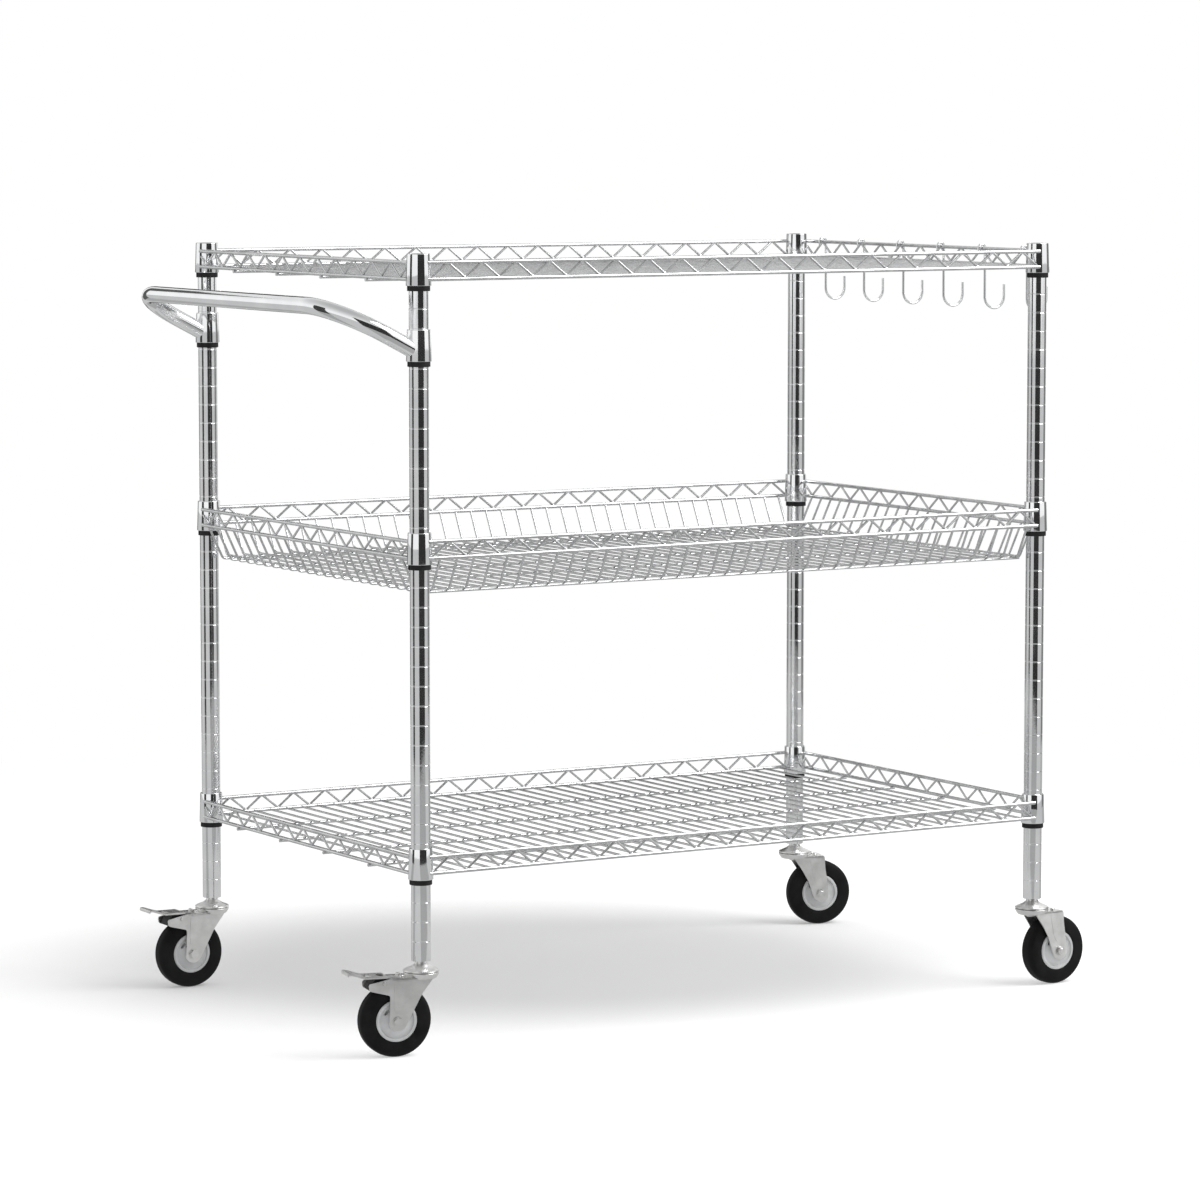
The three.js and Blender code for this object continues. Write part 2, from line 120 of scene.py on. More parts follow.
finishes = {
    # metal, dark and pale tones, gloss range, size of patches, size and depth of the grain, shine
    "chrome": (1, (0.84, 0.85, 0.86), (0.92, 0.925, 0.93), (0.035, 0.11), 22, 900, 0.04, 0.5),
    # The wires' chrome is the posts' chrome made darker: painted shade standing in for the dimmer
    # surroundings that the wires mirror
    "chrome_wire": (1, (0.57, 0.575, 0.58), (0.71, 0.715, 0.72), (0.14, 0.28), 45, 1400, 0.1, 0.5),
    "zinc": (1, (0.74, 0.74, 0.73), (0.86, 0.86, 0.85), (0.28, 0.46), 60, 700, 0.25, 0.5),
    "grey_plastic": (0, (0.44, 0.445, 0.45), (0.53, 0.535, 0.54), (0.32, 0.5), 50, 1100, 0.25, 0.5),
    "black_plastic": (0, (0.006, 0.006, 0.0065), (0.016, 0.016, 0.017), (0.4, 0.58), 70, 1600, 0.3, 0.25),
    "tyre": (0, (0.003, 0.003, 0.003), (0.009, 0.009, 0.009), (0.5, 0.72), 40, 1000, 0.4, 0.15),
}


def makeFinish(name):
    metallic, dark, pale, gloss, patch, grain, depth, shine = finishes[name]
    material, nodes, links, shader = startMaterial(name)
    shader.inputs["Metallic"].default_value = metallic
    shader.inputs["Specular IOR Level"].default_value = shine
    patches = noiseOn(nodes, links, patch)
    links.new(twoTone(nodes, links, patches, dark, pale), shader.inputs["Base Color"])
    roughness = rangeNode(nodes, links, patches, *gloss, *glossSpan)
    links.new(roughness.outputs["Result"], shader.inputs["Roughness"])
    roughen(nodes, links, shader, noiseOn(nodes, links, grain, 2), depth)
    return material


materials = {name: makeFinish(name) for name in finishes}
print("finishes made", len(materials))


# Mesh helpers

weldDistance = 0.001 * mm
cornerShare = 0.45  # the most of an edge that one rounded corner takes
plateCorner = 0.6  # an edge of a plate that bends more than this, in radians, is softened


def newObject(name, mesh):
    piece = bpy.data.objects.new(name, mesh)
    bpy.context.scene.collection.objects.link(piece)
    return piece


def bakedMesh(piece):
    graph = bpy.context.evaluated_depsgraph_get()
    graph.update()
    return bpy.data.meshes.new_from_object(piece.evaluated_get(graph), depsgraph=graph)


def settle(piece):
    mesh = bakedMesh(piece)
    piece.modifiers.clear()
    piece.data = mesh
    return piece


def cleanUp(piece):
    shape = bmesh.new()
    shape.from_mesh(piece.data)
    bmesh.ops.remove_doubles(shape, verts=shape.verts, dist=weldDistance)
    bmesh.ops.recalc_face_normals(shape, faces=shape.faces)
    shape.to_mesh(piece.data)
    shape.free()


def finishPiece(piece, body, slot, *cadNodes, sharpAngle=38):
    cleanUp(piece)
    piece.data.materials.clear()
    piece.data.materials.append(materials[slot])
    piece.data.shade_smooth()
    piece.data.set_sharp_from_angle(angle=math.radians(sharpAngle))
    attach(piece, body)
    if cadNodes:
        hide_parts(*cadNodes)
    return piece


def fillMesh(name, build):
    mesh = bpy.data.meshes.new(name)
    shape = bmesh.new()
    build(shape)
    shape.to_mesh(mesh)
    shape.free()
    return newObject(name, mesh)


# Rounds every corner of a closed outline by a short curve
def rounded(points, radius, steps=3):
    outline = []
    count = len(points)
    for index, point in enumerate(points):
        corner = Vector(point)
        before = Vector(points[index - 1]) - corner
        after = Vector(points[(index + 1) % count]) - corner
        reach = min(radius, before.length * cornerShare, after.length * cornerShare)
        start = corner + before.normalized() * reach
        end = corner + after.normalized() * reach
        for step in range(steps + 1):
            share = step / steps
            bent = start * (1 - share) ** 2 + corner * 2 * share * (1 - share) + end * share ** 2
            outline.append((bent.x, bent.y))
    return outline


# Turns a closed outline of (radius, height) in millimetres about the place's Z axis
def addTurned(shape, outline, place, sides=48, start=0, sweep=math.tau):
    whole = sweep == math.tau
    rows = []
    for turn in range(sides if whole else sides + 1):
        angle = start + sweep * turn / sides
        rows.append([
            shape.verts.new(place @ Vector((r * math.cos(angle) * mm, r * math.sin(angle) * mm, z * mm)))
            for r, z in outline
        ])
    for turn in range(sides):
        row, nextRow = rows[turn], rows[(turn + 1) % len(rows)]
        for index in range(len(outline)):
            after = (index + 1) % len(outline)
            shape.faces.new([row[index], nextRow[index], nextRow[after], row[after]])
    if not whole:
        shape.faces.new(rows[0])
        shape.faces.new(rows[-1])


# A flat plate from a closed outline in millimetres, from one height to another, with softened edges
def addPlate(shape, outline, lowZ, highZ, place, soften=0.35):
    plate = bmesh.new()
    under = [plate.verts.new((x * mm, y * mm, lowZ * mm)) for x, y in outline]
    over = [plate.verts.new((x * mm, y * mm, highZ * mm)) for x, y in outline]
    plate.faces.new(under)
    plate.faces.new(over)
    for index in range(len(outline)):
        after = (index + 1) % len(outline)
        plate.faces.new([under[index], under[after], over[after], over[index]])
    bmesh.ops.recalc_face_normals(plate, faces=plate.faces)
    if soften:
        rims = [edge for edge in plate.edges if edge.calc_face_angle(0) > plateCorner]
        bmesh.ops.bevel(plate, geom=rims, offset=soften * mm, segments=2, affect="EDGES", clamp_overlap=True)
    bmesh.ops.transform(plate, matrix=place, verts=plate.verts)
    loose = bpy.data.meshes.new("plate")
    plate.to_mesh(loose)
    plate.free()
    shape.from_mesh(loose)
    bpy.data.meshes.remove(loose)


def turned(name, outline, place, sides):
    return fillMesh(name, lambda shape: addTurned(shape, outline, place, sides))


def plated(name, outline, lowZ, highZ, place, soften):
    return fillMesh(name, lambda shape: addPlate(shape, outline, lowZ, highZ, place, soften))


# The two flat ends of a straight cutter or pin, as an outline of (radius, height)
def rodOutline(radius, low, high):
    return [(0, low), (radius, low), (radius, high), (0, high)]


def ovalOutline(centre, halfLong, halfWide, count):
    angles = [math.tau * index / count for index in range(count)]
    return [(centre + halfLong * math.cos(angle), halfWide * math.sin(angle)) for angle in angles]


# Bent wire

def buildWireTree():
    tree = bpy.data.node_groups.new("bent wire row", "GeometryNodeTree")
    sockets = [
        ("Path", "NodeSocketGeometry"), ("Wire Diameter", "NodeSocketFloat"),
        ("Bend Radius", "NodeSocketFloat"), ("Bend Steps", "NodeSocketInt"),
        ("Sides", "NodeSocketInt"), ("Copies", "NodeSocketInt"),
        ("Step", "NodeSocketVector"), ("Finish", "NodeSocketMaterial"),
    ]
    for label, kind in sockets:
        tree.interface.new_socket(label, in_out="INPUT", socket_type=kind)
    tree.interface.new_socket("Wire", in_out="OUTPUT", socket_type="NodeSocketGeometry")
    add = tree.nodes.new
    link = tree.links.new
    given = add("NodeGroupInput").outputs
    curve = add("GeometryNodeMeshToCurve")
    fillet = add("GeometryNodeFilletCurve")
    fillet.mode = "POLY"
    fillet.inputs["Limit Radius"].default_value = True
    halve = add("ShaderNodeMath")
    halve.operation = "MULTIPLY"
    halve.inputs[1].default_value = 0.5
    circle = add("GeometryNodeCurvePrimitiveCircle")
    sweep = add("GeometryNodeCurveToMesh")
    sweep.inputs["Fill Caps"].default_value = True
    row = add("GeometryNodeMeshLine")
    copies = add("GeometryNodeInstanceOnPoints")
    realize = add("GeometryNodeRealizeInstances")
    paint = add("GeometryNodeSetMaterial")
    link(given["Path"], curve.inputs["Mesh"])
    link(curve.outputs["Curve"], fillet.inputs["Curve"])
    link(given["Bend Radius"], fillet.inputs["Radius"])
    link(given["Bend Steps"], fillet.inputs["Count"])
    link(fillet.outputs["Curve"], sweep.inputs["Curve"])
    link(given["Wire Diameter"], halve.inputs[0])
    link(given["Sides"], circle.inputs["Resolution"])
    link(halve.outputs["Value"], circle.inputs["Radius"])
    link(circle.outputs["Curve"], sweep.inputs["Profile Curve"])
    link(given["Copies"], row.inputs["Count"])
    link(given["Step"], row.inputs["Offset"])
    link(row.outputs["Mesh"], copies.inputs["Points"])
    link(sweep.outputs["Mesh"], copies.inputs["Instance"])
    link(copies.outputs["Instances"], realize.inputs["Geometry"])
    link(realize.outputs["Geometry"], paint.inputs["Geometry"])
    link(given["Finish"], paint.inputs["Material"])
    link(paint.outputs["Geometry"], add("NodeGroupOutput").inputs["Wire"])
    return tree


wireTree = buildWireTree()
wireInput = {
    item.name: item.identifier
    for item in wireTree.interface.items_tree if item.in_out == "INPUT"
}


# Paths are lists of points in metres; the whole set is repeated by the step
def wires(name, paths, diameter, slot, bend=0, copies=1, step=(0, 0, 0), sides=10, bendSteps=4):
    points, edges = [], []
    for path in paths:
        first = len(points)
        points.extend(path)
        edges.extend((first + index, first + index + 1) for index in range(len(path) - 1))
    mesh = bpy.data.meshes.new(name)
    mesh.from_pydata([tuple(point) for point in points], edges, [])
    piece = newObject(name, mesh)
    modifier = piece.modifiers.new("wire", "NODES")
    modifier.node_group = wireTree
    values = {
        "Wire Diameter": diameter * mm, "Bend Radius": bend * mm, "Bend Steps": bendSteps,
        "Sides": sides, "Copies": copies, "Step": tuple(step), "Finish": materials[slot],
    }
    for label, value in values.items():
        modifier[wireInput[label]] = value
    return settle(piece)


def joined(name, pieces):
    shape = bmesh.new()
    for piece in pieces:
        shape.from_mesh(piece.data)
        mesh = piece.data
        bpy.data.objects.remove(piece)
        bpy.data.meshes.remove(mesh)
    mesh = bpy.data.meshes.new(name)
    shape.to_mesh(mesh)
    shape.free()
    return newObject(name, mesh)


# Cuts one closed piece with another, which is used up
def cut(piece, cutter):
    modifier = piece.modifiers.new("cut", "BOOLEAN")
    modifier.operation = "DIFFERENCE"
    modifier.solver = "EXACT"
    modifier.object = cutter
    settle(piece)
    bpy.data.objects.remove(cutter)
    return piece


def at(x, y, z):
    return Matrix.Translation((x, y, z))


def atCorner(cornerName, height):
    return at(postAxis[cornerName].x, postAxis[cornerName].y, height)


# Posts: grooved one-inch tube, with a black cap in the top
post = {
    "radius": 12.7, "wall": 1.5, "groovePitch": 25.4, "grooveDepth": 0.26, "grooveHalf": 0.9,
    "endClear": 4, "sides": 56, "edge": 0.5, "sharp": 14,
}
# Across a groove: share of its half width, share of its depth
grooveProfile = [(-1, 0), (-0.6, 0.75), (0, 1), (0.6, 0.75), (1, 0)]
cap = {
    "fit": 0.3, "lip": 0.4, "shoulder": 1.0, "shoulderRise": 0.7, "crown": 3.5,
    "dimple": 4, "dimpleFoot": 3, "dimpleDepth": 0.5, "sides": 40,
}


def postOutline():
    bottom, top = postLow.z / mm, postHigh.z / mm
    radius, inner, edge = post["radius"], post["radius"] - post["wall"], post["edge"]
    half, depth = post["grooveHalf"], post["grooveDepth"]
    outline = [(inner, top), (inner, bottom), (radius - edge, bottom), (radius, bottom + edge)]
    height = ringHeight["bottom"] / mm
    while height - post["groovePitch"] > bottom + post["endClear"]:
        height -= post["groovePitch"]
    while height < top - post["endClear"]:
        for along, share in grooveProfile:
            outline.append((radius - depth * share, height + half * along))
        height += post["groovePitch"]
    return outline + [(radius, top - edge), (radius - edge, top)]


def capOutline(low, top):
    tight = post["radius"] - post["wall"] - cap["fit"]
    lipZ = postHigh.z / mm + cap["fit"]
    sunk = top - cap["dimpleDepth"]
    return [
        (0, low), (tight, low), (tight, lipZ), (post["radius"] - cap["lip"], lipZ),
        (post["radius"] - cap["shoulder"], lipZ + cap["shoulderRise"]),
        (post["radius"] - cap["crown"], top), (cap["dimple"], top), (cap["dimpleFoot"], sunk), (0, sunk),
    ]


def makePost(cornerName):
    axis = atCorner(cornerName, 0)
    tube = turned("grooved_post_" + cornerName, postOutline(), axis, post["sides"])
    finishPiece(tube, "cart", "chrome", "post_" + cornerName, sharpAngle=post["sharp"])
    low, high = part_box("post_cap_" + cornerName)
    plug = turned("plug_" + cornerName, capOutline(low.z / mm, high.z / mm), axis, cap["sides"])
    finishPiece(plug, "cart", "black_plastic", "post_cap_" + cornerName)


for cornerName in cornerNames:
    makePost(cornerName)
print("posts made")


# Split sleeves and the collars round them
sleeve = {
    "ringRadius": 14.8, "top": 36, "slit": 1.6, "halfSides": 24, "clearance": 0.3, "step": 0.4, "round": 0.6,
}
collar = {
    "low": 3.5, "high": 44, "radiusLow": 16.4, "radiusHigh": 15.1, "wall": 1.5, "lip": 0.7, "sides": 56,
}


def collarRadius(height):
    share = (height - collar["low"]) / (collar["high"] - collar["low"])
    return collar["radiusLow"] + (collar["radiusHigh"] - collar["radiusLow"]) * share


def sleeveOutline():
    bore = post["radius"] + sleeve["clearance"]
    ring = ringHalf / mm
    foot, top = ring + sleeve["step"], sleeve["top"]

    def outer(height):
        return collarRadius(height) - collar["wall"] - sleeve["clearance"]
    return rounded([
        (bore, -ring), (sleeve["ringRadius"], -ring), (sleeve["ringRadius"], ring),
        (outer(foot), foot), (outer(top), top), (bore, top),
    ], sleeve["round"])


def collarOutline():
    wall = collar["wall"]
    return rounded([
        (collarRadius(collar["low"]) - wall, collar["low"]), (collarRadius(collar["low"]), collar["low"]),
        (collarRadius(collar["high"]), collar["high"]), (collarRadius(collar["high"]) - wall, collar["high"]),
    ], collar["lip"])


def addSleeve(shape, place):
    gapAngle = sleeve["slit"] / post["radius"]
    for half in range(2):
        start = math.pi * half + gapAngle / 2
        addTurned(shape, sleeveOutline(), place, sleeve["halfSides"], start, math.pi - gapAngle)


def collarsAt(name, height, corners):
    def build(shape):
        for cornerName in corners:
            addTurned(shape, collarOutline(), atCorner(cornerName, height), collar["sides"])
    return fillMesh(name, build)


for level, height in ringHeight.items():
    for cornerName in cornerNames:
        node = f"sleeve_{level}_{cornerName}"
        if node in frame["nodes"]:
            place = atCorner(cornerName, height)
            piece = fillMesh(f"split_{node}", lambda shape: addSleeve(shape, place))
            finishPiece(piece, "cart", "black_plastic", node)
print("sleeves made")


# Shelves
truss = {
    "out": 13, "rod": 5, "rodSides": 16, "upper": 33, "lower": 11.7, "zigzag": 3.2, "pitch": 50, "bend": 3,
    "rodEnd": 6, "webTop": 33, "webFoot": 13.4, "webClear": 10, "webEnd": 9, "leastLeg": 0.1,
}
deck = {
    "wire": 3.2, "wireSides": 12, "pitch": 25, "count": 38, "stiffener": 4.3, "stiffenerSides": 14,
    "rows": [-187.5, -62.5, 62.5, 187.5], "knob": 3.5,
}
basket = {
    "wire": 3.2, "pitch": 25, "drop": 43, "inset": 22, "bend": 7, "bendSteps": 5, "endCount": 23, "foot": 16,
    "longRows": [-250, -125, 0, 125, 250], "hemY": 285,
}
sideX = spanX / 2 + truss["out"] * mm
sideY = spanY / 2 + truss["out"] * mm


def inCart(x, y, z):
    return Vector((cartMiddle.x + x, cartMiddle.y + y, z))


# One side's zigzag as (distance along, height): peaks on the pitch, feet half way between, short legs at
# the ends
def zigzag(halfSpan):
    half = truss["pitch"] / 2
    last = int((halfSpan / mm - truss["webClear"]) // half)
    points = []
    for bend in range(-last, last + 1):
        points.append((bend * half, truss["webTop"] if bend % 2 == 0 else truss["webFoot"]))
    reach = halfSpan / mm - truss["webEnd"]
    share = min(1, max(0, (reach - last * half) / half))
    endZ = points[-1][1] + (truss["webTop"] + truss["webFoot"] - 2 * points[-1][1]) * share
    if share > truss["leastLeg"]:
        points = [(-reach, endZ), *points, (reach, endZ)]
    return points


def rodPaths(height, alongX, alongY):
    endX = spanX / 2 - truss["rodEnd"] * mm
    endY = spanY / 2 - truss["rodEnd"] * mm
    paths = []
    for side in (-1, 1):
        if alongX:
            paths.append([inCart(-endX, side * sideY, height), inCart(endX, side * sideY, height)])
        if alongY:
            paths.append([inCart(side * sideX, -endY, height), inCart(side * sideX, endY, height)])
    return paths


def rodWires(name, paths):
    return wires(name, paths, truss["rod"], "chrome_wire", sides=truss["rodSides"])


# Straight paths along the cart, one for each row's distance across it in millimetres
def pathsAlong(reach, rows, height):
    return [[inCart(-reach, y * mm, height), inCart(reach, y * mm, height)] for y in rows]


def makeTruss(level):
    height = ringHeight[level]
    webs = []
    for side in (-1, 1):
        webs.append([inCart(s * mm, side * sideY, height + z * mm) for s, z in zigzag(spanX / 2)])
        webs.append([inCart(side * sideX, s * mm, height + z * mm) for s, z in zigzag(spanY / 2)])
    web = wires(f"{level}_shelf_zigzag", webs, truss["zigzag"], "chrome_wire", truss["bend"])
    finishPiece(web, "cart", "chrome_wire")
    upper = rodWires(f"{level}_shelf_upper_rods", rodPaths(height + truss["upper"] * mm, True, True))
    finishPiece(upper, "cart", "chrome_wire")
    collars = collarsAt(f"{level}_shelf_collars", height, cornerNames)
    finishPiece(collars, "cart", "chrome", f"{level}_shelf_rim")


def makeDeck(level):
    z = ringHeight[level] + truss["lower"] * mm
    first = -(deck["count"] - 1) / 2 * deck["pitch"] * mm
    row = wires(f"{level}_deck_row", [[inCart(first, -sideY, z), inCart(first, sideY, z)]],
                deck["wire"], "chrome_wire", copies=deck["count"], step=(deck["pitch"] * mm, 0, 0),
                sides=deck["wireSides"])
    rods = rodWires(f"{level}_deck_rods", rodPaths(z, True, False))
    grille = joined(f"{level}_deck_wires", [row, rods])
    finishPiece(grille, "cart", "chrome_wire", f"{level}_shelf_deck")
    under = z - (deck["wire"] + deck["stiffener"]) / 2 * mm
    bars = wires(f"{level}_bars", pathsAlong(sideX + deck["knob"] * mm, deck["rows"], under),
                 deck["stiffener"], "chrome_wire", sides=deck["stiffenerSides"])
    sideRods = rodWires(f"{level}_side_rods", rodPaths(z, False, True))
    stiffeners = joined(f"{level}_stiffener_wires", [bars, sideRods])
    finishPiece(stiffeners, "cart", "chrome_wire", f"{level}_shelf_stiffeners")


# Troughs across the cart, end wires hooked under them, and long wires below both
def makeBasket():
    pitch, wire, inset = basket["pitch"] * mm, basket["wire"], basket["inset"] * mm
    z = ringHeight["basket"] + truss["lower"] * mm
    footZ = z - basket["drop"] * mm
    endZ = footZ - wire * mm
    bent = {"bend": basket["bend"], "bendSteps": basket["bendSteps"]}
    first = -(deck["count"] - 1) / 2 * basket["pitch"] * mm
    trough = [inCart(first, -sideY, z), inCart(first, -sideY + inset, footZ),
              inCart(first, sideY - inset, footZ), inCart(first, sideY, z)]
    across = wires("basket_across", [trough], wire, "chrome_wire", copies=deck["count"],
                   step=(pitch, 0, 0), **bent)
    firstY = -(basket["endCount"] - 1) / 2 * basket["pitch"] * mm
    ends = []
    for side in (-1, 1):
        ends.append([inCart(side * sideX, firstY, z), inCart(side * (sideX - inset), firstY, endZ),
                     inCart(side * (sideX - inset - basket["foot"] * mm), firstY, endZ)])
    endWires = wires("basket_ends", ends, wire, "chrome_wire", copies=basket["endCount"],
                     step=(0, pitch, 0), **bent)
    rows = [*basket["longRows"], -basket["hemY"], basket["hemY"]]
    reach = sideX - inset - basket["foot"] * mm / 2
    longWires = wires("basket_long", pathsAlong(reach, rows, endZ), wire, "chrome_wire")
    rods = rodWires("basket_rods", rodPaths(z, True, True))
    whole = joined("basket_wires", [across, endWires, longWires, rods])
    finishPiece(whole, "cart", "chrome_wire", "basket_shelf_basket")


for level in ["bottom", "basket", "top"]:
    makeTruss(level)
for level in ["bottom", "top"]:
    makeDeck(level)
makeBasket()
print("shelves made")


# Push handle: bent tube coped on to two collars
handle = {
    "radius": 11, "tilt": 27.1, "reach": 131.8, "bend": 83, "bendSteps": 28, "root": 14.2, "start": 8,
    "sides": 56,
    "cope": 1.6, "copeLow": -40, "copeHigh": 90, "copeSides": 48,
}


def makeHandle():
    tilt = math.radians(handle["tilt"])
    out = Vector((-math.cos(tilt), 0, math.sin(tilt)))
    ends = {}
    for cornerName in ["front_left", "back_left"]:
        ends[cornerName] = Vector((postAxis[cornerName].x, postAxis[cornerName].y,
                                   ringHeight["handle"] + handle["root"] * mm))
    front, back = ends["front_left"], ends["back_left"]
    path = [front + out * handle["start"] * mm, front + out * handle["reach"] * mm,
            back + out * handle["reach"] * mm, back + out * handle["start"] * mm]
    tube = wires("push_bar", [path], 2 * handle["radius"], "chrome", handle["bend"],
                 sides=handle["sides"], bendSteps=handle["bendSteps"])
    outline = rodOutline(post["radius"] + handle["cope"], handle["copeLow"], handle["copeHigh"])
    for cornerName in ends:
        cutter = turned("bore", outline, atCorner(cornerName, ringHeight["handle"]), handle["copeSides"])
        cleanUp(cutter)
        cut(tube, cutter)
    finishPiece(tube, "cart", "chrome", "push_handle")
    finishPiece(collarsAt("handle_collars", ringHeight["handle"], list(ends)), "cart", "chrome")


makeHandle()
print("handle made")


# Hooks
hook = {
    "count": 6, "wire": 3.4, "sides": 14, "crook": 5.6, "crookSteps": 12, "bend": 16.5, "bendSteps": 20,
    "drop": 84, "tip": 33, "lip": 4,
}


def arc(centre, radius, fromAngle, toAngle, steps):
    points = []
    for step in range(steps + 1):
        angle = fromAngle + (toAngle - fromAngle) * step / steps
        points.append(centre + Vector((math.cos(angle), 0, math.sin(angle))) * radius)
    return points


def hookPath(pivot):
    crook, bend = hook["crook"] * mm, hook["bend"] * mm
    over = arc(pivot, crook, math.pi, 0, hook["crookSteps"])
    centre = pivot + Vector((crook + bend, 0, bend - hook["drop"] * mm))
    under = arc(centre, bend, math.pi, math.tau, hook["bendSteps"])
    start = over[0] - Vector((0, 0, hook["lip"] * mm))
    tip = under[-1] + Vector((0, 0, (hook["tip"] - hook["bend"]) * mm))
    return [start, *over, *under, tip]


for number in range(1, hook["count"] + 1):
    path = hookPath(jointPlace[f"hook_swing_{number}"])
    piece = wires(f"wire_hook_{number}", [path], hook["wire"], "chrome", sides=hook["sides"])
    finishPiece(piece, f"hook_{number}", "chrome", f"utensil_hook_{number}")
print("hooks made")


# Casters, made along the trail: X from the post's axis to the axle, Z up
caster = {
    "wheel": 47.75, "tread": 24.5, "shoulder": 7, "shoulderSteps": 6, "hub": 26.3, "hubHalf": 14.3, "axle": 4,
    "inner": 15.4, "sheet": 2.4, "swivel": 23.5, "trail": 36.5, "eye": 12.5, "eyeDegrees": range(200, 341,
                                                                                                 14),
    "crown": 104, "crownSheet": 3, "plateLow": 109, "raceLow": 100.5, "raceBore": 6, "gap": 0.4, "fit": 0.1,
    "hinge": (54, 98), "pin": 2.4, "pinFit": 0.3, "pinProud": 0.8, "ribSink": 0.6, "ribProud": 0.25,
}
# The crown's reach behind and ahead of the post's axis, the cheek's back edge and nose, and its rib's front
forkKinds = {
    "brake": {
        "back": 11, "front": 46, "backEdge": [(-10, 100), (4, 82), (13, 65)],
        "nose": [(47, 62), (46.5, 82), (74, 89), (75, 98)], "ribFront": 42,
    },
    "plain": {
        "back": 5, "front": 42, "backEdge": [(-4, 100), (8, 82), (17, 66)],
        "nose": [(46, 67), (43, 87)], "ribFront": 37,
    },
}
rivet = {"radius": 3.2, "dome": 1.6, "sink": 0.5, "side": 2.2, "height": 3.6, "along": 29, "across": 9}
# The flare's points are radius and height above the race plate
head = {
    "foot": 97, "rivetFoot": 7, "rivet": 8, "rivetTop": 100.1, "kingpin": 5, "bevel": 0.8,
    "rimIn": 0.6, "rimRise": 2.2, "flare": [(18.5, 4.2), (13, 6.6), (9.2, 9.2)],
    "neck": 8, "neckDrop": 2.4, "seat": 0.3, "stem": 10.9, "stemReach": 30,
}
# Heights along the bolt are beyond its stand off the cheeks
bolt = {
    "stand": 0.4, "tail": 1, "end": 4.2, "tip": 4.9, "tipRadius": 3.3, "washerBore": 3, "washer": 6.9,
    "washerSink": 0.1, "washerTop": 0.7, "head": 4, "across": 11, "turn": 0.2,
}
# The hub's slot, and the angle it stands at on a braked and on a plain wheel
slot = {
    "radius": 17.5, "halfLong": 2.1, "halfWide": 4.6, "over": 4, "under": 6, "steps": 20,
    "brakeAngle": 41, "plainAngle": 139,
}
# Outlines of the pedal's plate and tongue, along the trail and up
pedal = {
    "half": 17, "tongueHalf": 12, "ovals": (55.5, 72.5), "ovalLong": 4.6, "ovalWide": 9.5, "ovalSteps": 24,
    "plate": [(48.5, 104.6), (77.5, 104.6), (84, 106.4), (97.5, 110.8), (101, 110.8), (101, 109),
              (102.2, 109), (102.2, 113.4), (97.5, 113.6), (83, 108.7), (77, 107), (48.5, 107)],
    "tongue": [(50, 94), (58, 94), (64, 92.5), (73, 88.5), (70, 97), (64, 104.5), (50, 104.5)],
    "cutLow": 100, "cutHigh": 111,
}
upright = Matrix.Rotation(math.pi / 2, 4, "X")  # stands a plate's outline up across the fork


def standing(place, across):
    return place @ Matrix.Translation((0, across * mm, 0)) @ upright


# A line across the fork, at a distance along the trail and a height
def crossLine(place, along, height):
    return place @ Matrix.Translation((along * mm, 0, height * mm)) @ upright


def forkKind(brake):
    return forkKinds["brake" if brake else "plain"]


def cheekOutline(brake):
    kind = forkKind(brake)
    points = [(-kind["back"], caster["crown"]), *kind["backEdge"]]
    for degrees in caster["eyeDegrees"]:
        angle = math.radians(degrees)
        points.append((caster["trail"] + caster["eye"] * math.cos(angle),
                       caster["wheel"] + caster["eye"] * math.sin(angle)))
    points += [*kind["nose"], (kind["front"], caster["crown"])]
    return rounded(points, 3, 3)


def makeCheek(place, brake, side):
    inner, sheet = caster["inner"], caster["sheet"]
    near, far = sorted([side * inner, side * (inner + sheet)])
    cheek = plated("cheek", cheekOutline(brake), 0, far - near, standing(place, far), 0.5)
    cleanUp(cheek)
    holes = [(caster["trail"], caster["wheel"], caster["axle"] + caster["fit"])]
    if brake:
        holes.append((*caster["hinge"], caster["pin"] + caster["pinFit"]))
    reach = inner + 2 * sheet
    for along, height, radius in holes:
        bore = turned("bore", rodOutline(radius, -reach, reach), crossLine(place, along, height), 32)
        cleanUp(bore)
        cut(cheek, bore)
    return cheek


# A pressed rib down the cheek, on its outer face
def ribOutline(brake):
    front = forkKind(brake)["ribFront"]
    return rounded([(19, 100.5), (25, 70), (30, 60), (41, 60), (front, 72), (front - 1, 100.5)], 4, 4)


def raceOutline():
    low, top, out = caster["raceLow"], caster["plateLow"] - caster["gap"], caster["swivel"]
    return rounded([
        (caster["raceBore"], low), (out - 4, low), (out - 0.6, low + 5.1), (out, top - 0.8), (out - 1.4, top),
        (caster["raceBore"], top),
    ], 0.9)


def rivetOutline():
    foot = caster["crown"] - rivet["sink"]
    side, top = caster["crown"] + rivet["side"], caster["crown"] + rivet["height"]
    return rounded([
        (0, foot), (rivet["radius"], foot), (rivet["radius"], side), (rivet["dome"], top), (0, top),
    ], 0.8)


def makeFork(cornerName, place, brake):
    kind, crown, half = forkKind(brake), caster["crown"], caster["inner"] + caster["sheet"]
    back, front = kind["back"], kind["front"]

    def build(shape):
        for side in (-1, 1):
            near, far = sorted([side * (half - caster["ribSink"]), side * (half + caster["ribProud"])])
            addPlate(shape, ribOutline(brake), 0, far - near, standing(place, far), 0.25)
        crownPlan = rounded([(-back, -half), (front, -half), (front, half), (-back, half)], 3, 4)
        addPlate(shape, crownPlan, crown - caster["crownSheet"], crown, place, 0.6)
        addTurned(shape, raceOutline(), place, 56)
        for across in (-rivet["across"], rivet["across"]):
            spot = place @ Matrix.Translation((rivet["along"] * mm, across * mm, 0))
            addTurned(shape, rivetOutline(), spot, 20)
    plates = [makeCheek(place, brake, side) for side in (-1, 1)]
    piece = joined("fork_plates_" + cornerName, [*plates, fillMesh("crown", build)])
    finishPiece(piece, "fork_" + cornerName, "zinc", "caster_fork_" + cornerName)


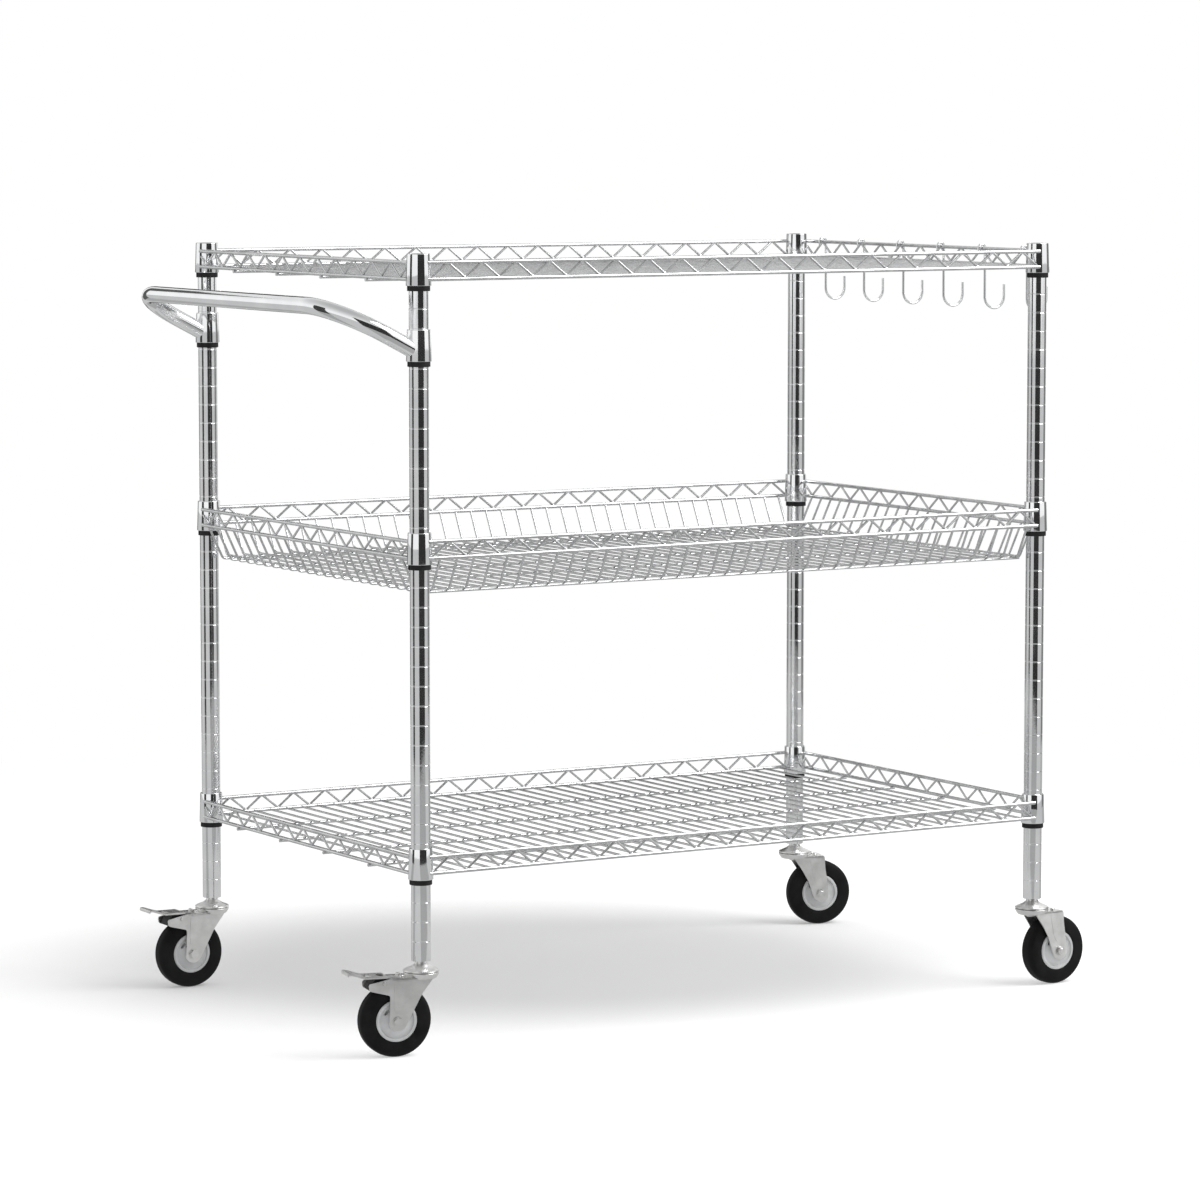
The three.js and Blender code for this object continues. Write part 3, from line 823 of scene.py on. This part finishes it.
def makeHead(cornerName, place):
    foot, plate, top = head["foot"], caster["plateLow"], postLow.z / mm
    bevel, rim, seat, end = head["bevel"], caster["swivel"], top + head["seat"], top + head["stemReach"]
    outline = [
        (0, foot), (head["rivetFoot"], foot), (head["rivet"], foot + bevel), (head["rivet"],
                                                                              head["rivetTop"]),
        (head["kingpin"], head["rivetTop"]), (head["kingpin"], plate), (rim - bevel, plate), (rim,
                                                                                              plate + bevel),
        (rim - head["rimIn"], plate + head["rimRise"]),
        *[(radius, plate + rise) for radius, rise in head["flare"]],
        (head["neck"], top - head["neckDrop"]), (head["neck"], seat), (head["stem"], seat),
        (head["stem"], end), (0, end),
    ]
    piece = turned("swivel_head_" + cornerName, outline, place, 56)
    finishPiece(piece, "cart", "zinc", "caster_head_" + cornerName)


def hexagon(across):
    radius = across / 2 / math.cos(math.pi / 6)
    angles = [math.pi / 3 * corner + bolt["turn"] for corner in range(6)]
    return [(radius * math.cos(angle), radius * math.sin(angle)) for angle in angles]


def makeAxle(cornerName, axleLine):
    outside = caster["inner"] + caster["sheet"] + bolt["stand"]
    tail, tip, top = -outside - bolt["tail"], outside + bolt["tip"], outside + bolt["washerTop"]
    under = outside - bolt["washerSink"]

    def build(shape):
        shank = [(0, tail), (caster["axle"], tail), (caster["axle"], outside + bolt["end"]),
                 (bolt["tipRadius"], tip), (0, tip)]
        addTurned(shape, shank, axleLine, 28)
        for side in (-1, 1):
            washer = [(bolt["washerBore"], under), (bolt["washer"], under), (bolt["washer"], top),
                      (bolt["washerBore"], top)]
            addTurned(shape, [(r, side * z) for r, z in washer], axleLine, 36)
            nearZ, farZ = sorted([side * top, side * (outside + bolt["head"])])
            addPlate(shape, hexagon(bolt["across"]), nearZ, farZ, axleLine, 0.4)
    piece = fillMesh("axle_bolt_" + cornerName, build)
    finishPiece(piece, "fork_" + cornerName, "zinc", "wheel_axle_" + cornerName)


# Closes one side's outline of (radius, height) with its mirror image
def bothSides(side):
    return side + [(radius, -height) for radius, height in reversed(side)]


def makeHub(cornerName, axleLine, slotAngle):
    half, tread, hub = caster["hubHalf"], caster["tread"] / 2, caster["hub"]
    side = [(4.1, half), (9.5, half), (10.6, half - 1.2), (20.5, tread - 1.4), (22.2, tread - 1.2),
            (23.4, tread + 0.5), (25.6, tread + 0.5), (hub + 0.9, tread - 0.8)]
    disc = turned("hub_disc_" + cornerName, bothSides(side), axleLine, 72)
    cleanUp(disc)
    plan = ovalOutline(slot["radius"], slot["halfLong"], slot["halfWide"], slot["steps"])
    turn = axleLine @ Matrix.Rotation(slotAngle, 4, "Z")
    for face in (-1, 1):
        nearZ, farZ = sorted([face * (half + slot["over"]), face * (tread - slot["under"])])
        cut(disc, plated("slot", plan, nearZ, farZ, turn, 0))
    finishPiece(disc, "wheel_" + cornerName, "grey_plastic", "wheel_hub_" + cornerName)


def makeTyre(cornerName, axleLine):
    outer, shoulder, tread, hub = caster["wheel"], caster["shoulder"], caster["tread"] / 2, caster["hub"]
    flank = [(hub + 1, tread - 1.4), (hub + 2.2, tread - 0.4), (hub + 5, tread),
             (outer - shoulder - 2, tread - 0.3)]
    for step in range(caster["shoulderSteps"] + 1):
        angle = math.pi / 2 * step / caster["shoulderSteps"]
        flank.append((outer - shoulder * (1 - math.sin(angle)),
                      tread - 0.6 - shoulder * (1 - math.cos(angle))))
    tyre = turned("rubber_tyre_" + cornerName, bothSides(flank), axleLine, 96)
    finishPiece(tyre, "wheel_" + cornerName, "tyre", "wheel_tyre_" + cornerName, sharpAngle=60)


def makePedal(cornerName, place):
    half, tongueHalf = pedal["half"], pedal["tongueHalf"]
    plate = plated("foot_plate_" + cornerName, rounded(pedal["plate"], 1.2, 3), -half, half,
                   place @ upright, 0.4)
    cleanUp(plate)
    for centre in pedal["ovals"]:
        oval = ovalOutline(centre, pedal["ovalLong"], pedal["ovalWide"], pedal["ovalSteps"])
        cut(plate, plated("oval", oval, pedal["cutLow"], pedal["cutHigh"], place, 0))
    pinHalf = caster["inner"] + caster["sheet"] + caster["pinProud"]
    pinOutline = rounded(rodOutline(caster["pin"], -pinHalf, pinHalf), 0.5)
    pin = turned("pin_" + cornerName, pinOutline, crossLine(place, *caster["hinge"]), 24)
    lever = joined("brake_lever_" + cornerName, [plate, pin])
    finishPiece(lever, "pedal_" + cornerName, "zinc", "brake_pedal_" + cornerName)
    # The tongue under the plate takes the black plastic finish, and its black is also painted shade: it keeps
    # the pedal's holes dark, as the shade under the plate would
    tongue = rounded(pedal["tongue"], 1.4, 3)
    block = plated("brake_tongue_" + cornerName, tongue, -tongueHalf, tongueHalf, place @ upright, 0.5)
    finishPiece(block, "pedal_" + cornerName, "black_plastic")


for cornerName in cornerNames:
    pivot = jointPlace["swivel_" + cornerName]
    toAxle = jointPlace["roll_" + cornerName] - pivot
    swivelAngle = math.atan2(toAxle.y, toAxle.x)
    place = at(pivot.x, pivot.y, 0) @ Matrix.Rotation(swivelAngle, 4, "Z")
    axleLine = crossLine(place, caster["trail"], caster["wheel"])
    brake = "brake_pedal_" + cornerName in frame["nodes"]
    makeHead(cornerName, place)
    makeFork(cornerName, place, brake)
    makeAxle(cornerName, axleLine)
    makeHub(cornerName, axleLine, math.radians(slot["brakeAngle" if brake else "plainAngle"]))
    makeTyre(cornerName, axleLine)
    if brake:
        makePedal(cornerName, place)
print("casters made")


# Floor, light and the dark cards that the chrome mirrors
studio = {
    "floorSize": 40, "floorTone": 0.65, "floorRough": 0.8, "floorShine": 0.1, "floorGloss": 0.58,
    "skyDiffuse": 0.6, "zenith": 0.5, "zenithFrom": 0.25, "zenithTo": 0.95,
    "shadeOffset": (-0.1, 0.2), "shadeReach": (0.85, 0.65), "shadeFrom": 0.42, "shadeTo": 1.05,
    "glowShaded": 0.13, "glowOpen": 0.5, "clearFrom": 1.5, "clearTo": 2.6,
    "keyPlace": (1.9, -1.5, 3.0), "keySize": 2.2, "keyPower": 95,
    "cardDistance": 3.0, "cardHeight": 2.4, "cardLift": 0.02, "cardSteps": 8,
    "stripFrom": 0.9, "stripFade": 0.35, "stripLift": 0.003,
    # bearing from, bearing to, tone; degrees to the right of the way to the camera
    "cards": [(-10, 50, 0.03), (-76, -55, 0.05), (98, 135, 0.2), (178, 206, 0.04), (-142, -124, 0.1)],
}
cameraSet = {"place": (-3504, -5739, 1213), "lens": 146.6, "sensor": 36, "drop": 5.73, "turn": 31.15}


def lengthNode(nodes, links, source):
    length = nodes.new("ShaderNodeVectorMath")
    length.operation = "LENGTH"
    links.new(source, length.inputs[0])
    return length.outputs["Value"]


# An oval of shade is painted on the floor under the cart. It is laid by the camera's turn and isn't a cast
# shadow. Round it the floor runs out to plain white, and in mirrors the whole floor is one even tone.
def makeFloor():
    half = studio["floorSize"] / 2
    mesh = bpy.data.meshes.new("floor")
    corners = [(-half, -half, 0), (half, -half, 0), (half, half, 0), (-half, half, 0)]
    mesh.from_pydata(corners, [], [(0, 1, 2, 3)])
    floor = newObject("floor", mesh)
    material, nodes, links, shader = startMaterial("pale floor")
    tone = studio["floorTone"]
    shader.inputs["Base Color"].default_value = (tone, tone, tone, 1)
    shader.inputs["Roughness"].default_value = studio["floorRough"]
    shader.inputs["Specular IOR Level"].default_value = studio["floorShine"]
    turn = math.radians(cameraSet["turn"])
    sideways, away = studio["shadeOffset"]
    place = nodes.new("ShaderNodeTexCoord")
    oval = nodes.new("ShaderNodeMapping")
    oval.vector_type = "TEXTURE"
    oval.inputs["Location"].default_value = (
        sideways * math.cos(turn) + away * math.sin(turn),
        away * math.cos(turn) - sideways * math.sin(turn), 0)
    oval.inputs["Rotation"].default_value = (0, 0, -turn)
    oval.inputs["Scale"].default_value = (*studio["shadeReach"], 1)
    links.new(place.outputs["Object"], oval.inputs["Vector"])
    shade = rangeNode(nodes, links, lengthNode(nodes, links, oval.outputs["Vector"]), studio["glowShaded"],
                      studio["glowOpen"], studio["shadeFrom"], studio["shadeTo"])
    shade.interpolation_type = "SMOOTHSTEP"
    lift = nodes.new("ShaderNodeEmission")
    links.new(shade.outputs["Result"], lift.inputs["Strength"])
    lit = nodes.new("ShaderNodeAddShader")
    links.new(shader.outputs["BSDF"], lit.inputs[0])
    links.new(lift.outputs["Emission"], lit.inputs[1])
    distance = lengthNode(nodes, links, place.outputs["Object"])
    fade = rangeNode(nodes, links, distance, 0, 1, studio["clearFrom"], studio["clearTo"])
    fade.interpolation_type = "SMOOTHSTEP"
    rays = nodes.new("ShaderNodeLightPath")
    glow = nodes.new("ShaderNodeEmission")
    strength = rangeNode(nodes, links, rays.outputs["Is Glossy Ray"], 1, studio["floorGloss"])
    links.new(strength.outputs["Result"], glow.inputs["Strength"])
    either = nodes.new("ShaderNodeMath")
    either.operation = "MAXIMUM"
    links.new(fade.outputs["Result"], either.inputs[0])
    links.new(rays.outputs["Is Glossy Ray"], either.inputs[1])
    blend = nodes.new("ShaderNodeMixShader")
    links.new(either.outputs["Value"], blend.inputs["Fac"])
    links.new(lit.outputs["Shader"], blend.inputs[1])
    links.new(glow.outputs["Emission"], blend.inputs[2])
    links.new(blend.outputs["Shader"], nodes["Material Output"].inputs["Surface"])
    mesh.materials.append(material)


# White to the camera, dimmer as a light, and greyer overhead in what the chrome mirrors
def makeWorld():
    world = bpy.data.worlds.new("studio")
    bpy.context.scene.world = world
    world.use_nodes = True
    nodes, links = world.node_tree.nodes, world.node_tree.links
    sky = nodes["Background"]
    sky.inputs["Color"].default_value = (1, 1, 1, 1)
    rays = nodes.new("ShaderNodeLightPath")
    level = rangeNode(nodes, links, rays.outputs["Is Diffuse Ray"], 1, studio["skyDiffuse"])
    direction = nodes.new("ShaderNodeTexCoord")
    split = nodes.new("ShaderNodeSeparateXYZ")
    links.new(direction.outputs["Generated"], split.inputs["Vector"])
    overhead = rangeNode(nodes, links, split.outputs["Z"], 1, studio["zenith"],
                         studio["zenithFrom"], studio["zenithTo"])
    mirrored = rangeNode(nodes, links, rays.outputs["Is Glossy Ray"], 1, 1)
    links.new(overhead.outputs["Result"], mirrored.inputs["To Max"])
    product = nodes.new("ShaderNodeMath")
    product.operation = "MULTIPLY"
    links.new(level.outputs["Result"], product.inputs[0])
    links.new(mirrored.outputs["Result"], product.inputs[1])
    links.new(product.outputs["Value"], sky.inputs["Strength"])


def makeKeyLight():
    light = bpy.data.lights.new("key", "AREA")
    light.energy = studio["keyPower"]
    light.size = studio["keySize"]
    lamp = newObject("key", light)
    lamp.location = studio["keyPlace"]
    lamp.rotation_euler = (-lamp.location).to_track_quat("-Z", "Y").to_euler()


# A dark strip of surface that the camera doesn't see and that casts no shadow, so it shows only in mirrors
def addCard(name, points, tone):
    faces = [(k, k + 2, k + 3, k + 1) for k in range(0, len(points) - 2, 2)]
    mesh = bpy.data.meshes.new(name)
    mesh.from_pydata(points, [], faces)
    card = newObject(name, mesh)
    material, nodes, links, _ = startMaterial(name)
    glow = nodes.new("ShaderNodeEmission")
    glow.inputs["Color"].default_value = (tone, tone, tone, 1)
    links.new(glow.outputs["Emission"], nodes["Material Output"].inputs["Surface"])
    mesh.materials.append(material)
    card.visible_camera = False
    card.visible_diffuse = False
    card.visible_shadow = False


# Each card stands on the floor and carries on as a paler strip on the floor in front of it
def makeCards():
    toCamera = Vector(cameraSet["place"]) * mm
    ahead = math.atan2(toCamera.y, toCamera.x)
    far, steps = studio["cardDistance"], studio["cardSteps"]
    paler = 1 - studio["stripFade"]
    for number, (start, end, tone) in enumerate(studio["cards"]):
        wall, strip = [], []
        for step in range(steps + 1):
            bearing = ahead + math.radians(start + (end - start) * step / steps)
            out = Vector((math.cos(bearing), math.sin(bearing), 0))
            wall += [out * far + Vector((0, 0, z)) for z in (studio["cardLift"], studio["cardHeight"])]
            strip += [out * distance + Vector((0, 0, studio["stripLift"]))
                      for distance in (studio["stripFrom"], far)]
        addCard(f"card_{number}", wall, tone)
        addCard(f"strip_{number}", strip, tone + (studio["floorGloss"] - tone) * paler)


def makeCamera():
    lens = bpy.data.cameras.new("camera")
    lens.sensor_width = cameraSet["sensor"]
    lens.lens = cameraSet["lens"]
    camera = newObject("camera", lens)
    camera.location = cartMiddle + Vector(cameraSet["place"]) * mm
    camera.rotation_euler = (math.radians(90 - cameraSet["drop"]), 0, -math.radians(cameraSet["turn"]))
    bpy.context.scene.camera = camera


makeFloor()
makeWorld()
makeKeyLight()
makeCards()
makeCamera()
bpy.context.scene.view_settings.view_transform = "Standard"
print("studio made")
